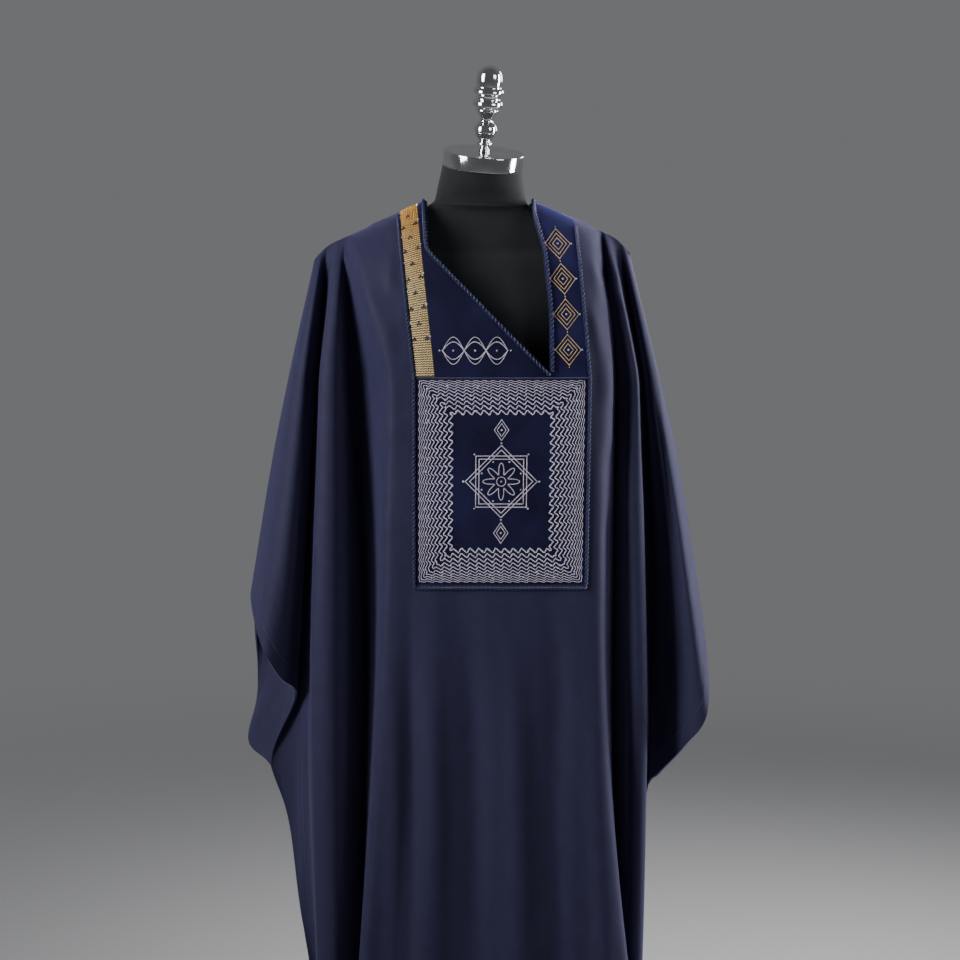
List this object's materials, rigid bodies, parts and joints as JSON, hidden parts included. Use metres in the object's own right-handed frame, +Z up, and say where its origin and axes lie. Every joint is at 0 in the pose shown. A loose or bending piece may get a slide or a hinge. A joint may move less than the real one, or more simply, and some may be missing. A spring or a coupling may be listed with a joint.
{
  "type": "grand boubou robe on a dress form",
  "caption": "Long wide-sleeved boubou robe of dark suiting with a velvet chest panel, gold band and twisted cord trim, hanging in folds on a limbless dress form with a stand.",
  "frame": {"origin": "on the floor, at the centre of the stand's base under the pole", "axes": "+Z up; the robe's front faces -Y; the wearer's right sleeve is at -X"},
  "size_m": [0.6924, 0.38, 1.7288],
  "materials": {
    "suiting": "smooth dark navy wool suiting with a soft sheen",
    "velvet": "deep navy cotton velvet",
    "gold_braid": "woven gold metallic braid",
    "cord": "twisted navy rayon cord",
    "jersey": "black jersey over a moulded form",
    "chrome": "polished"
  },
  "bodies": {
    "root": {"body_front": "suiting", "body_back": "suiting", "sleeve_right_front": "suiting", "sleeve_right_back": "suiting", "sleeve_left_front": "suiting", "sleeve_left_back": "suiting", "chest_panel": "velvet", "neck_panel": "velvet", "neck_strip": "velvet", "gold_band": "gold_braid", "cord_border_right": "cord", "cord_border_left": "cord", "cord_middle": "cord", "cord_neck_right": "cord", "cord_neck_left": "cord", "form_torso": "jersey", "neck_cap": "chrome", "finial": "chrome", "stand_pole": "chrome", "stand_collar": "chrome", "stand_base": "chrome"}
  },
  "joints": []
}
